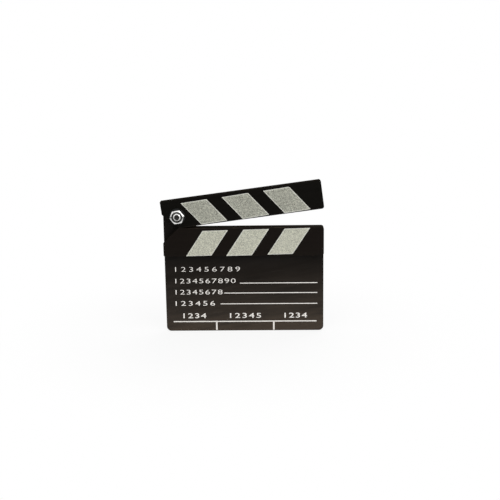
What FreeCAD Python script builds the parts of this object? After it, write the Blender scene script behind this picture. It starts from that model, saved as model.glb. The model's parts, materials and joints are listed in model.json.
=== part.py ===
"""Clapperboard: a small wooden film slate with a hinged clap stick, as a FreeCAD document.

The slate stands upright with its face toward -Y, +X to its right and +Z up.  The origin lies in the
middle of the slate's bottom edge.  The clap stick is drawn as it rests, a few degrees open.
"""
import FreeCAD, Part
import math
import os
import re

import Sketcher

doc = FreeCAD.newDocument("clapperboard")

# Driving dimensions, in millimetres and degrees
SIZES = (
    ("slate_width", 200.0, "slate, left edge to right edge"),
    ("slate_height", 136.0, "slate, bottom edge to top edge"),
    ("slate_thick", 6.0, "slate, face to back"),
    ("slate_corner", 6.0, "radius of the slate's bottom corners"),
    ("shoulder_corner", 3.0, "radius of the slate's top right corner and of the corner beside the tab"),
    ("slate_edge", 0.8, "rounding along the slate's edges"),
    ("tab_width", 36.5, "hinge tab, left to right"),
    ("tab_above_pivot", 15.0, "hinge tab, pivot to its top"),
    ("tab_corner", 9.0, "radius of the tab's top corners"),
    ("stick_height", 36.0, "both sticks, lower edge to upper edge"),
    ("stick_thick", 9.0, "both sticks, face to back"),
    ("stick_corner", 3.0, "radius of the sticks' free corners"),
    ("hinge_corner", 1.4, "radius of the sticks' square corner at the hinge end"),
    ("stick_edge", 0.6, "rounding along the sticks' edges"),
    ("pivot_inset", 18.8, "pivot, from the sticks' hinge end"),
    ("pivot_rise", 14.7, "pivot, above the clap stick's lower edge"),
    ("heel_past_pivot", 0.5, "corner cut off each stick at the hinge, how far it runs past the pivot"),
    ("clap_gap", 0.2, "gap between the sticks when they are closed"),
    ("open_angle", 7.3, "clap stick at rest, degrees from closed"),
    ("stripe_width", 33.0, "stripe, along the stick"),
    ("stripe_end", 17.0, "foot of the clap stick's last stripe, from the free end"),
    ("stripe_run", 22.5, "lean of a stripe, along the stick from its foot to its top"),
    ("stripe_band", 2.8, "bare black band above the stripes"),
    ("stripe_inset", 0.1, "foot of the stripes, above the rounding of the stick's lower edge"),
    ("stripe_film", 0.2, "thickness of the stripe film"),
    ("clap_stripe_start", 47.0, "foot of the clap stick's first stripe, from the hinge end"),
    ("fixed_stripe_start", 26.5, "foot of the fixed stick's first stripe, from the hinge end"),
    ("bolt_width", 10.0, "pivot bolt, diameter of its shank"),
    ("bolt_head", 17.0, "pivot bolt, diameter of its countersunk head"),
    ("bolt_rim", 0.5, "pivot bolt, straight rim of its head"),
    ("bolt_beyond_nut", 1.0, "pivot bolt, length that shows in front of the nut"),
    ("bolt_end_bevel", 1.6, "pivot bolt, bevel around its end"),
    ("bolt_socket", 6.0, "pivot bolt, hexagon socket across flats"),
    ("bolt_socket_depth", 3.0, "pivot bolt, depth of the socket"),
    ("nut_flats", 16.0, "pivot nut across flats"),
    ("nut_thick", 5.0, "pivot nut, face to face"),
    ("nut_crown", 13.8, "pivot nut, diameter of the round land on its faces"),
    ("nut_bevel", 30.0, "pivot nut, slope of its bevelled corners in degrees"),
    ("nut_turn", 9.0, "pivot nut, degrees its corner is turned up from level"),
    ("nut_countersink", 0.7, "pivot nut, bevel around its bore"),
    ("washer_width", 20.0, "friction washers, outer diameter"),
    ("washer_thick", 1.0, "friction washers, face to face"),
    ("running_fit", 0.1, "radial clearance on the bolt of what turns or slips over it"),
    ("thread_fit", 0.05, "radial clearance of the nut on the bolt"),
    ("head_sunk", 0.2, "depth of the bolt and screw heads below the slate's back"),
    ("screw_width", 3.5, "wood screw, diameter of its shank"),
    ("screw_head", 7.0, "wood screw, diameter of its countersunk head"),
    ("screw_bite", 5.0, "wood screw, length inside the fixed stick"),
    ("screw_tip", 2.5, "wood screw, length of its point"),
    ("screw_fit", 0.05, "radial clearance of a screw in its hole"),
    ("screw_start", 27.0, "first and last wood screw, from the fixed stick's ends"),
)
STRIPES = 3
SCREWS = 4

# Places and lengths that several pieces share, worked out from the sizes above
SHARED = (
    ("stick_length", "slate_width", "both sticks, hinge end to free end"),
    ("slate_left", "-slate_width / 2", "slate's left edge, and the hinge end of both sticks when closed"),
    ("pivot_across", "slate_left + pivot_inset", "pivot, from the middle of the slate"),
    ("pivot_up", "slate_height + clap_gap + pivot_rise", "pivot, above the slate's bottom edge"),
    ("slate_back", "slate_thick / 2", "back of the slate"),
    ("slate_face", "-slate_thick / 2", "face of the slate"),
    ("fixed_face", "slate_face - stick_thick", "face of the fixed stick"),
    ("fixed_foot", "slate_height - stick_height", "lower edge of the fixed stick"),
    ("clap_back", "slate_face - washer_thick", "back of the clap stick"),
    ("clap_face", "clap_back - stick_thick", "face of the clap stick"),
    ("nut_seat", "clap_face - washer_thick", "face of the front washer, where the nut sits"),
    ("nut_face", "nut_seat - nut_thick", "front face of the nut"),
    ("heel_cut", "pivot_inset + heel_past_pivot", "length and height of the corner cut off each stick"),
    ("stripe_foot", "stick_edge + stripe_inset", "foot of the stripes, above the stick's lower edge"),
    ("stripe_top", "stick_height - stripe_band", "top of the stripes, above the stick's lower edge"),
    ("stripe_pitch", f"(stick_length - clap_stripe_start - stripe_width - stripe_end) / {STRIPES - 1}",
     "stripe to stripe, along the stick"),
    ("screw_pitch", f"(stick_length - 2 * screw_start) / {SCREWS - 1}", "wood screw to wood screw"),
    ("screw_up", "fixed_foot + stick_height / 2", "wood screws, above the slate's bottom edge"),
    ("clap_across", "pivot_across - pivot_inset * cos(open_angle) + pivot_rise * sin(open_angle)",
     "hinge end of the clap stick's lower edge, from the middle of the slate"),
    ("clap_up", "pivot_up - pivot_inset * sin(open_angle) - pivot_rise * cos(open_angle)",
     "hinge end of the clap stick's lower edge, above the slate's bottom edge"),
)

LEVEL = "rotation(vector(0; -1; 0); 0)"
CLAP_TURN = "rotation(vector(0; -1; 0); open_angle)"
NUT_TURN = "rotation(vector(0; -1; 0); nut_turn)"

sheet = doc.addObject("Spreadsheet::Sheet", "Sizes")
for row, (name, entry, note) in enumerate(SIZES + SHARED, 1):
    formula = "" if isinstance(entry, float) else "="
    sheet.set(f"A{row}", note)
    sheet.set(f"B{row}", f"{formula}{entry}")
    sheet.setAlias(f"B{row}", name)
doc.recompute()
ALIASES = {name for name, entry, note in SIZES + SHARED}


def bound(formula):
    """The formula with each size read from the sheet."""
    return re.sub("[a-z_]+", lambda word: f"Sizes.{word[0]}" if word[0] in ALIASES else word[0], formula)


def size(name):
    """The present value of one size."""
    return float(getattr(sheet, name))


def piece(name, across, depth, up, turn=LEVEL):
    """An empty body for one piece, placed by formulas."""
    body = doc.addObject("PartDesign::Body", name)
    body.Label = name
    body.setExpression("Placement", bound(f"placement(vector({across}; {depth}; {up}); {turn})"))
    return body


def origin_feature(body, role):
    """One of the body's own planes or axes."""
    return next(feature for feature in body.Origin.OriginFeatures if feature.Role == role)


def front_sketch(body, title):
    """A sketch seen from the front: across is X, up is Z."""
    sketch = body.newObject("Sketcher::SketchObject", f"{body.Name}_{title}")
    sketch.AttachmentSupport = [(origin_feature(body, "XZ_Plane"), "")]
    sketch.MapMode = "FlatFace"
    return sketch


def section_sketch(body, title, across="0", up="0"):
    """A half section for turned shapes, its axis running front to back through the given place."""
    sketch = body.newObject("Sketcher::SketchObject", f"{body.Name}_{title}")
    sketch.AttachmentSupport = [(origin_feature(body, "YZ_Plane"), "")]
    sketch.MapMode = "FlatFace"
    sketch.setExpression("AttachmentOffset.Base.y", bound(up))
    sketch.setExpression("AttachmentOffset.Base.z", bound(across))
    return sketch


def drive(sketch, formula, kind, *target):
    """A dimension in a sketch, tied to a formula."""
    index = sketch.addConstraint(Sketcher.Constraint(kind, *target, 1.0))
    sketch.setExpression(f"Constraints[{index}]", bound(formula))


def polygon(sketch, corners):
    """A closed outline whose corners lie at the given pairs of formulas."""
    first = sketch.GeometryCount
    count = len(corners)
    steps = [2 * math.pi * step / count for step in range(count)]
    ring = [FreeCAD.Vector(math.cos(step), math.sin(step), 0) * 20 for step in steps]
    for step in range(count):
        sketch.addGeometry(Part.LineSegment(ring[step], ring[(step + 1) % count]))
    for step in range(count):
        sketch.addConstraint(Sketcher.Constraint("Coincident", first + step, 2, first + (step + 1) % count, 1))
    for step, (across, up) in enumerate(corners):
        drive(sketch, across, "DistanceX", -1, 1, first + step, 1)
        drive(sketch, up, "DistanceY", -1, 1, first + step, 1)


def circle(sketch, across, up, width):
    """A circle whose centre and diameter are formulas."""
    index = sketch.addGeometry(Part.Circle(FreeCAD.Vector(1, 1, 0), FreeCAD.Vector(0, 0, 1), 1.0))
    drive(sketch, across, "DistanceX", -1, 1, index, 3)
    drive(sketch, up, "DistanceY", -1, 1, index, 3)
    drive(sketch, width, "Diameter", index)


def hexagon(sketch, flats):
    """A hexagon around the sketch's origin, one corner to the right."""
    half = f"{flats} / 2"
    reach = f"{flats} / sqrt(3)"
    polygon(sketch, (
        (reach, "0"), (f"{reach} / 2", half), (f"-{reach} / 2", half),
        (f"-{reach}", "0"), (f"-{reach} / 2", f"-{half}"), (f"{reach} / 2", f"-{half}"),
    ))


def pad(body, sketch, length):
    """A plate raised from its sketch toward the front."""
    feature = body.newObject("PartDesign::Pad", f"{sketch.Name}_pad")
    feature.Profile = sketch
    feature.setExpression("Length", bound(length))
    doc.recompute()
    return feature


def pocket(body, sketch, depth):
    """A cut from its sketch toward the front."""
    feature = body.newObject("PartDesign::Pocket", f"{sketch.Name}_pocket")
    feature.Profile = sketch
    feature.setExpression("Length", bound(depth))
    feature.Reversed = True
    doc.recompute()
    return feature


def turned(body, sketch, kind):
    """A half section turned all the way round: a Revolution adds it and a Groove cuts it."""
    feature = body.newObject(f"PartDesign::{kind}", f"{sketch.Name}_turned")
    feature.Profile = sketch
    feature.ReferenceAxis = (sketch, ["H_Axis"])
    feature.Angle = 360.0
    doc.recompute()
    return feature


def row_of_screws(body, feature):
    """The same feature repeated at every wood screw."""
    pattern = body.newObject("PartDesign::LinearPattern", f"{feature.Name}_row")
    pattern.Originals = [feature]
    pattern.Direction = (origin_feature(body, "X_Axis"), [""])
    pattern.Occurrences = SCREWS
    pattern.setExpression("Length", bound(f"{SCREWS - 1} * screw_pitch"))
    body.Tip = pattern
    doc.recompute()
    return pattern


def round_over(body, base, names, radius, title):
    """A fillet on the named edges or faces."""
    fillet = body.newObject("PartDesign::Fillet", f"{body.Name}_{title}")
    fillet.Base = (base, names)
    fillet.setExpression("Radius", bound(radius))
    doc.recompute()
    return fillet


def corner_names(shape, places):
    """Names of the edges that run front to back through the given places of an outline."""
    names = []
    for number, edge in enumerate(shape.Edges, 1):
        start, end = edge.firstVertex().Point, edge.lastVertex().Point
        runs_back = math.hypot(start.x - end.x, start.z - end.z) < 1e-4
        for across, up in places:
            if runs_back and math.hypot(start.x - across, start.z - up) < 1e-4:
                names.append(f"Edge{number}")
    return names


def face_names(shape, side):
    """Names of the flat faces that look straight to the front, side -1, or to the back, side 1."""
    names = []
    for number, face in enumerate(shape.Faces, 1):
        flat = isinstance(face.Surface, Part.Plane)
        if flat and abs(face.normalAt(0, 0).y - side) < 1e-6:
            names.append(f"Face{number}")
    return names


def ease_edges(body, base, width):
    """The face's edges rounded over, and the back's edges bevelled, by the same width."""
    rounded = round_over(body, base, face_names(base.Shape, -1), width, "face_edges")
    bevel = body.newObject("PartDesign::Chamfer", f"{body.Name}_back_edges")
    bevel.Base = (rounded, face_names(rounded.Shape, 1))
    bevel.setExpression("Size", bound(width))
    doc.recompute()
    return bevel


# Slate with its hinge tab, cut for the bolt's head and for the wood screws
slate_board = piece("slate_board", "slate_left", "slate_back", "0")
outline = front_sketch(slate_board, "outline")
tab_top = "pivot_up + tab_above_pivot"
polygon(outline, (
    ("0", "0"), ("slate_width", "0"), ("slate_width", "slate_height"),
    ("tab_width", "slate_height"), ("tab_width", tab_top), ("0", tab_top),
))
slab = pad(slate_board, outline, "slate_thick")
foot_corners = ((0, 0), (size("slate_width"), 0))
shoulders = ((size("slate_width"), size("slate_height")), (size("tab_width"), size("slate_height")))
tab_height = size("pivot_up") + size("tab_above_pivot")
tab_corners = ((0, tab_height), (size("tab_width"), tab_height))
for title, places in (("slate_corner", foot_corners), ("shoulder_corner", shoulders), ("tab_corner", tab_corners)):
    slab = round_over(slate_board, slab, corner_names(slab.Shape, places), title, title)
ease_edges(slate_board, slab, "slate_edge")

bolt_hole = section_sketch(slate_board, "bolt_hole", "pivot_inset", "pivot_up")
bolt_head_hole = "bolt_head / 2 + running_fit"
bolt_shank_hole = "bolt_width / 2 + running_fit"
bolt_cone = "(bolt_head - bolt_width) / 2"
polygon(bolt_hole, (
    ("head_sunk", "0"), ("head_sunk", bolt_head_hole), ("-head_sunk - bolt_rim", bolt_head_hole),
    (f"-head_sunk - bolt_rim - {bolt_cone}", bolt_shank_hole),
    ("-slate_thick - head_sunk", bolt_shank_hole), ("-slate_thick - head_sunk", "0"),
))
turned(slate_board, bolt_hole, "Groove")

screw_hole = section_sketch(slate_board, "screw_hole", "screw_start", "screw_up")
screw_head_hole = "screw_head / 2 + screw_fit"
screw_shank_hole = "screw_width / 2 + screw_fit"
screw_cone = "(screw_head - screw_width) / 2"
polygon(screw_hole, (
    ("head_sunk", "0"), ("head_sunk", screw_head_hole), ("-head_sunk", screw_head_hole),
    (f"-head_sunk - {screw_cone}", screw_shank_hole),
    ("-slate_thick - head_sunk", screw_shank_hole), ("-slate_thick - head_sunk", "0"),
))
row_of_screws(slate_board, turned(slate_board, screw_hole, "Groove"))


def stick(name, across, depth, up, turn, corners, square_corner):
    """A stick with its heel cut off, its free corners rounded and its edges eased."""
    body = piece(name, across, depth, up, turn)
    sketch = front_sketch(body, "outline")
    polygon(sketch, corners)
    bar = pad(body, sketch, "stick_thick")
    ends = ((size("stick_length"), 0), (size("stick_length"), size("stick_height")))
    bar = round_over(body, bar, corner_names(bar.Shape, ends), "stick_corner", "free_end")
    bar = round_over(body, bar, corner_names(bar.Shape, (square_corner,)), "hinge_corner", "hinge_end")
    ease_edges(body, bar, "stick_edge")
    return body


# Fixed stick: its heel is cut off at the top, and wood screws hold it from behind
fixed_stick = stick("fixed_stick", "slate_left", "slate_face", "fixed_foot", LEVEL, (
    ("0", "0"), ("stick_length", "0"), ("stick_length", "stick_height"),
    ("heel_cut", "stick_height"), ("0", "stick_height - heel_cut"),
), (0, 0))
pilot_hole = section_sketch(fixed_stick, "pilot_hole", "screw_start", "stick_height / 2")
polygon(pilot_hole, (
    ("head_sunk", "0"), ("head_sunk", screw_shank_hole), ("screw_tip - screw_bite", screw_shank_hole),
    ("-screw_bite - screw_fit", "0"),
))
row_of_screws(fixed_stick, turned(fixed_stick, pilot_hole, "Groove"))

# Clap stick: its heel is cut off at the bottom, so that the two cuts clear each other as it opens
clap_stick = stick("clap_stick", "clap_across", "clap_back", "clap_up", CLAP_TURN, (
    ("heel_cut", "0"), ("stick_length", "0"), ("stick_length", "stick_height"),
    ("0", "stick_height"), ("0", "heel_cut"),
), (0, size("stick_height")))
bore = front_sketch(clap_stick, "bore")
circle(bore, "pivot_inset", "pivot_rise", "bolt_width + 2 * running_fit")
pocket(clap_stick, bore, "stick_thick")


def stripe(name, across, depth, up, turn, start, lean):
    """A leaning stripe of film on a stick's face."""
    body = piece(name, across, depth, up, turn)
    sketch = front_sketch(body, "outline")
    polygon(sketch, (
        (start, "stripe_foot"), (f"{start} + stripe_width", "stripe_foot"),
        (f"{start} + stripe_width {lean} stripe_run", "stripe_top"), (f"{start} {lean} stripe_run", "stripe_top"),
    ))
    pad(body, sketch, "stripe_film")
    return body


# Stripes, which lean one way on the clap stick and the other way on the fixed stick
stripes = []
for number in range(STRIPES):
    stripes.append(stripe(
        f"clap_stripe_{number + 1}", "clap_across", "clap_face", "clap_up", CLAP_TURN,
        f"clap_stripe_start + {number} * stripe_pitch", "-",
    ))
    stripes.append(stripe(
        f"fixed_stripe_{number + 1}", "slate_left", "fixed_face", "fixed_foot", LEVEL,
        f"fixed_stripe_start + {number} * stripe_pitch", "+",
    ))

# Pivot bolt: a countersunk head flush in the slate's back, with a hexagon socket
pivot_bolt = piece("pivot_bolt", "pivot_across", "slate_back", "pivot_up")
bolt_section = section_sketch(pivot_bolt, "section")
bolt_end = "nut_face - bolt_beyond_nut - slate_back"
polygon(bolt_section, (
    ("-head_sunk", "0"), ("-head_sunk", "bolt_head / 2"), ("-head_sunk - bolt_rim", "bolt_head / 2"),
    (f"-head_sunk - bolt_rim - {bolt_cone}", "bolt_width / 2"),
    (f"{bolt_end} + bolt_end_bevel", "bolt_width / 2"), (bolt_end, "bolt_width / 2 - bolt_end_bevel"),
    (bolt_end, "0"),
))
turned(pivot_bolt, bolt_section, "Revolution")
socket = front_sketch(pivot_bolt, "socket")
hexagon(socket, "bolt_socket")
pocket(pivot_bolt, socket, "head_sunk + bolt_socket_depth")

# Pivot nut: a thin hexagon nut with bevelled corners and a countersunk bore
pivot_nut = piece("pivot_nut", "pivot_across", "nut_seat", "pivot_up", NUT_TURN)
nut_outline = front_sketch(pivot_nut, "outline")
hexagon(nut_outline, "nut_flats")
pad(pivot_nut, nut_outline, "nut_thick")
nut_reach = "nut_flats * 0.6"
nut_fall = f"({nut_reach} - nut_crown / 2) * tan(nut_bevel)"
nut_corners = section_sketch(pivot_nut, "corners")
polygon(nut_corners, (("0", "nut_crown / 2"), ("0", nut_reach), (f"-{nut_fall}", nut_reach)))
polygon(nut_corners, (
    ("-nut_thick", "nut_crown / 2"), ("-nut_thick", nut_reach), (f"{nut_fall} - nut_thick", nut_reach),
))
turned(pivot_nut, nut_corners, "Groove")
nut_bore = section_sketch(pivot_nut, "bore")
nut_hole = "bolt_width / 2 + thread_fit"
polygon(nut_bore, (
    ("0", "0"), ("0", f"{nut_hole} + nut_countersink"), ("-nut_countersink", nut_hole),
    ("nut_countersink - nut_thick", nut_hole), ("-nut_thick", f"{nut_hole} + nut_countersink"),
    ("-nut_thick", "0"),
))
turned(pivot_nut, nut_bore, "Groove")

# Friction washers, behind the clap stick and in front of it
washers = []
for name, seat in (("rear_washer", "slate_face"), ("front_washer", "clap_face")):
    washer = piece(name, "pivot_across", seat, "pivot_up")
    ring = front_sketch(washer, "ring")
    circle(ring, "0", "0", "washer_width")
    circle(ring, "0", "0", "bolt_width + 2 * running_fit")
    pad(washer, ring, "washer_thick")
    washers.append(washer)

# Wood screws that hold the fixed stick to the slate
stick_screws = piece("stick_screws", "slate_left + screw_start", "slate_back", "screw_up")
screw_section = section_sketch(stick_screws, "section")
screw_end = "-slate_thick - screw_bite"
polygon(screw_section, (
    ("-head_sunk", "0"), ("-head_sunk", "screw_head / 2"), (f"-head_sunk - {screw_cone}", "screw_width / 2"),
    (f"{screw_end} + screw_tip", "screw_width / 2"), (screw_end, "0"),
))
row_of_screws(stick_screws, turned(stick_screws, screw_section, "Revolution"))

# Every piece is checked and written to a file of its own
pieces = [slate_board, fixed_stick, clap_stick, *stripes, pivot_bolt, pivot_nut, *washers, stick_screws]
doc.recompute()
for item in doc.Objects:
    if "Invalid" in item.State or "Error" in item.State:
        raise RuntimeError(f"{item.Label} could not be computed")
os.makedirs("parts", exist_ok=True)
for body in pieces:
    if body.Shape.isNull() or not body.Shape.isValid():
        raise RuntimeError(f"{body.Label} has no sound shape")
    body.Shape.exportStep(f"parts/{body.Label}.step")
    box = body.Shape.BoundBox
    print(f"{body.Label}: {len(body.Shape.Solids)} solid(s), {body.Shape.Volume:.0f} mm3,"
          f" {box.XLength:.1f} x {box.YLength:.1f} x {box.ZLength:.1f} mm")
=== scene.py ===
# %% [markdown]
# A clapperboard is a black writing slate under two striped sticks. The lower stick is
# screwed to the slate, and the upper one swings on a bolt and claps down on it. The CAD
# solids have the shapes. Blender adds what those leave out: paint, print, film, threads,
# light and a camera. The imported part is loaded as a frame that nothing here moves, and
# each new piece rides on one of its two bodies, "board" or "clap".

import json
import math
import random

import bmesh
import bpy
from mathutils import Matrix, Vector


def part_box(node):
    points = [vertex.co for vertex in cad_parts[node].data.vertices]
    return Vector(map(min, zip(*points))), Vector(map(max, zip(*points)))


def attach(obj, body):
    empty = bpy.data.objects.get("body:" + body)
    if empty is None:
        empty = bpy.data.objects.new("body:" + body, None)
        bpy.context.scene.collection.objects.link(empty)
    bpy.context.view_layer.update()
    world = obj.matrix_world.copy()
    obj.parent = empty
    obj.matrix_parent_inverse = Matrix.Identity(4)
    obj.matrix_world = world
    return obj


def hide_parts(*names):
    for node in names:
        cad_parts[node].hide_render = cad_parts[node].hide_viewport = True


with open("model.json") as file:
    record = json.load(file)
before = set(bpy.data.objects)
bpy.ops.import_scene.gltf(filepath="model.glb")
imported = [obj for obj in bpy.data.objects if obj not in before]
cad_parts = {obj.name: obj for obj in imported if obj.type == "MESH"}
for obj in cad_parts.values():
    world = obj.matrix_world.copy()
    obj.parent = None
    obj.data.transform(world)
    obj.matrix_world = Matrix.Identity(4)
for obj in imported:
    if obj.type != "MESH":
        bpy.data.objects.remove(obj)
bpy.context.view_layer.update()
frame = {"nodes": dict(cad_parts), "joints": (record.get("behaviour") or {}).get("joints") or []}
nodes = frame["nodes"]
print("CAD nodes:", ", ".join(sorted(nodes)))

# %% [markdown]
# Lengths on the object are easier to think of in millimetres, and Blender works in
# metres, so MM turns one into the other. The planes and the pivot that the new pieces
# sit on are read from the CAD, not typed in again: if the CAD part changes, they follow.

# %% Planes and points that the pieces sit on
MM = 0.001


def front_and_back(node):
    """Where a CAD node begins and ends along Y, in millimetres."""
    return [corner.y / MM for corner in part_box(node)]


SLATE_FACE = front_and_back("slate_board")[0]
hinge = frame["joints"][0]
PIVOT = Vector(hinge["pos_m"])
CLAP_TILT = math.radians(-hinge["range_deg"][0])
print("slate face y:", round(SLATE_FACE, 2), "pivot:", [round(v / MM, 1) for v in PIVOT])

# %% [markdown]
# The photograph looks slightly down on the board from straight in front. The camera was
# found by matching the straight edges of slate and sticks: place, point looked at, a
# small roll and the lens. The three axes are built by hand because the roll is part of
# the match, and a Track To constraint would level the camera again.

# %% Camera at the photograph's angle
CAMERA_PLACE = Vector((0.041442, -1.149559, 0.364508))
CAMERA_AIM = Vector((0.007799, 0.0, 0.104882))
CAMERA_ROLL = math.radians(-0.84)
CAMERA_LENS, SENSOR_WIDTH = 67.48, 36.0


def rolled_view(place, aim, roll):
    """The camera's matrix: it stands at place, looks at aim and is turned by roll."""
    ahead = (aim - place).normalized()
    level = ahead.cross(Vector((0, 0, 1))).normalized()
    upright = level.cross(ahead)
    right = math.cos(roll) * level + math.sin(roll) * upright
    up = math.cos(roll) * upright - math.sin(roll) * level
    view = Matrix((right, up, -ahead)).transposed().to_4x4()
    view.translation = place
    return view


lens = bpy.data.cameras.new("photo_camera")
lens.lens = CAMERA_LENS
lens.sensor_width = SENSOR_WIDTH
camera = bpy.data.objects.new("photo_camera", lens)
camera.matrix_world = rolled_view(CAMERA_PLACE, CAMERA_AIM, CAMERA_ROLL)
bpy.context.scene.collection.objects.link(camera)
bpy.context.scene.camera = camera
bpy.context.scene.view_settings.view_transform = "Standard"
print("camera distance in mm:", round((CAMERA_AIM - CAMERA_PLACE).length / MM))

# %% [markdown]
# Every finish below is a small sum of masks: grain plus haze, less what is rubbed off.
# Written with node calls such a sum is hard to read, so one class wraps a socket and
# gives it Python's operators. `1 - mask` then adds a Math node, and anything on a vector
# adds a Vector Math node. All other nodes come from the one method `node`.

# %% Shader sums as Python expressions
class Wire:
    """One output socket in a node tree. Sums on it add the nodes that work them out."""

    def __init__(self, tree, socket=None):
        self.tree, self.socket = tree, socket

    def node(self, kind, settings=None, sockets=None, out=0):
        """Any node: its settings are set first, then its sockets get values or links."""
        made = self.tree.nodes.new("ShaderNode" + kind)
        for name, value in (settings or {}).items():
            setattr(made, name, value)
        for name, value in (sockets or {}).items():
            if isinstance(value, Wire):
                self.tree.links.new(value.socket, made.inputs[name])
            else:
                made.inputs[name].default_value = value
        return Wire(self.tree, made.outputs[out])

    def is_vector(self):
        return self.socket.type in ("VECTOR", "RGBA")

    def sum(self, operation, first, second):
        """first and second through a Math node, or Vector Math where one is a vector."""
        pair = (first, second)
        if any(isinstance(one, Wire) and one.is_vector() for one in pair):
            pair = [(one,) * 3 if isinstance(one, (int, float)) else one for one in pair]
            return self.node("VectorMath", {"operation": operation}, {0: pair[0], 1: pair[1]})
        return self.node("Math", {"operation": operation}, {0: first, 1: second})

    def __add__(self, other):
        return self.sum("ADD", self, other)

    def __radd__(self, other):
        return self.sum("ADD", other, self)

    def __sub__(self, other):
        return self.sum("SUBTRACT", self, other)

    def __rsub__(self, other):
        return self.sum("SUBTRACT", other, self)

    def __mul__(self, other):
        return self.sum("MULTIPLY", self, other)

    def __rmul__(self, other):
        return self.sum("MULTIPLY", other, self)

    def to(self, shader, name):
        """Links this output to a shader's socket."""
        self.tree.links.new(self.socket, shader.inputs[name])


print("Wire: +, -, * and node()")

# %% [markdown]
# A few words of the painter's trade come back in each finish: a soft step from none to
# all, a cloudy noise, two colours laid over each other by a mask, and a bump. All of
# them work on a place in millimetres, so the scale of a grain can be read off directly:
# a noise at `per_mm` 2 has grains of about half a millimetre, and with three numbers it
# is drawn out along the axis of the smallest one, as wood grain and brush marks are.

# %% Masks, grain, colours and bump
def soft_step(value, none, full):
    """0 up to none, 1 from full on, and smooth between."""
    return value.node(
        "MapRange",
        {"interpolation_type": "SMOOTHSTEP"},
        {"Value": value, "From Min": none, "From Max": full},
    )


def grain(place, per_mm, detail=2.0, rough=0.5):
    """Cloudy noise around 0.5. per_mm is one number, or one for each axis."""
    if isinstance(per_mm, tuple):
        place, per_mm = place * per_mm, 1.0
    return place.node(
        "TexNoise", None, {"Vector": place, "Scale": per_mm, "Detail": detail, "Roughness": rough}
    )


def laid_over(mask, under, over):
    """The colour under, covered by the colour over where mask is 1."""
    under, over = ((*one, 1.0) if isinstance(one, tuple) else one for one in (under, over))
    # The colour sockets of a Mix node go by number, because all its kinds share their names.
    return mask.node("Mix", {"data_type": "RGBA"}, {0: mask, 6: under, 7: over}, out=2)


def shaded(colour, factor):
    """A plain colour made lighter or darker by a factor that varies."""
    return factor.node("VectorMath", {"operation": "SCALE"}, {0: colour, "Scale": factor})


def bump(height, depth_mm, strength):
    """A bump as deep as depth_mm where height goes from 0 to 1."""
    return height.node(
        "Bump", None, {"Height": height, "Distance": depth_mm * MM, "Strength": strength}
    )


def new_finish(name, specular=0.5, roughness=0.5):
    """A material, its shader, and the place on the piece in millimetres."""
    material = bpy.data.materials.new(name)
    material.use_nodes = True
    shader = material.node_tree.nodes["Principled BSDF"]
    shader.inputs["Specular IOR Level"].default_value = specular
    shader.inputs["Roughness"].default_value = roughness
    place = Wire(material.node_tree).node("TexCoord", out="Object") * (1.0 / MM)
    return material, shader, place


def dress(node, material):
    """Gives a CAD node its finish."""
    nodes[node].material_slots[0].material = material
    print(f"{node}: {material.name}, {len(material.node_tree.nodes)} shader nodes")


# %% [markdown]
# Paint wears by the way a spot faces. The flat faces keep their gloss, the cut edges
# between them drink the paint and stay dull, and the rounded corners are the first to
# lose it. One mask tells the faces from the edges and another finds the corners, both
# from the surface's own normal. The dull edges get a second shader without any gloss,
# because the gloss level of a shader has to stay one number.

# %% Faces, edges and corners
ON_A_FACE = (0.80, 0.97)
OFF_AN_EDGE, OFF_A_FACE = (0.10, 0.35), (0.985, 0.90)


def along_axes(place):
    """The three parts of a place."""
    return [place.node("SeparateXYZ", None, {0: place}, out=axis) for axis in range(3)]


def without_sign(value):
    return value.node("Math", {"operation": "ABSOLUTE"}, {0: value})


def facing(start):
    """How a spot faces along Y: -1 straight to the front, 1 straight to the back."""
    return along_axes(start.node("NewGeometry", out="Normal"))[1]


def flat_faces(start):
    """1 on the front and on the back, 0 on the edges between them."""
    return soft_step(without_sign(facing(start)), *ON_A_FACE)


def corner_lines(start):
    """1 on the rounded and bevelled corners between faces and edges."""
    level = without_sign(facing(start))
    return soft_step(level, *OFF_AN_EDGE) * soft_step(level, *OFF_A_FACE)


def show_mixed(mask, under, over):
    """Shows the shader under where mask is 0, and the shader over where it is 1."""
    mixed = mask.node("MixShader", None, {0: mask, 1: under, 2: over})
    mixed.to(mask.tree.nodes["Material Output"], "Surface")


def dull_edges(shader, faces, colour, relief):
    """Leaves the gloss to the flat faces: where faces is 0, the paint is quite matt."""
    matt = faces.node(
        "BsdfPrincipled",
        None,
        {"Specular IOR Level": 0.0, "Roughness": 1.0, "Base Color": colour, "Normal": relief},
    )
    show_mixed(faces, matt, Wire(faces.tree, shader.outputs[0]))


print("paint is dull where the normal's part along Y is under", ON_A_FACE[0])

# %% [markdown]
# The slate is fibreboard under black paint rolled on thinly. It is deep black under the
# sticks and greyer and warmer toward its foot: partly a haze that hands and wiped chalk
# leave, and partly a painted sheen, the bright table's reflection painted into the colour.
# Its right side is painted a little lighter as well, as painted light. A gradient alone
# would look airbrushed, so the haze is broken up by long leaning wipes, thin scratches and
# the fine pimples that a roller leaves. The back has no chalk, only broad scuffs. The cut
# edges drink the paint and stay dull, and the corners are rubbed.

# %% Slate paint
SLATE_BLACK = (0.0062, 0.0042, 0.0028)
# The lighter, warmer colour below is chalk haze together with painted sheen toward the foot.
SLATE_HAZE_AND_SHEEN = (0.0470, 0.0340, 0.0230)
CHALK_GREY = (0.10, 0.09, 0.08)
EDGE_GREY = (0.021, 0.0175, 0.0142)
BARE_BOARD, BOARD_WEAR = (0.060, 0.042, 0.028), 0.55
WIPE_LEAN = math.radians(9.0)
WIPE_GRAIN, SCRATCH_GRAIN = (0.012, 0.05, 0.10), (0.025, 0.5, 1.3)
PIMPLE_GRAIN, SPECK_GRAIN, SCUFF_GRAIN, RUB_GRAIN = 1.1, 0.55, 0.022, 0.16
PRESSED_GRAIN = (0.10, 1.6, 0.10)
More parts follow.
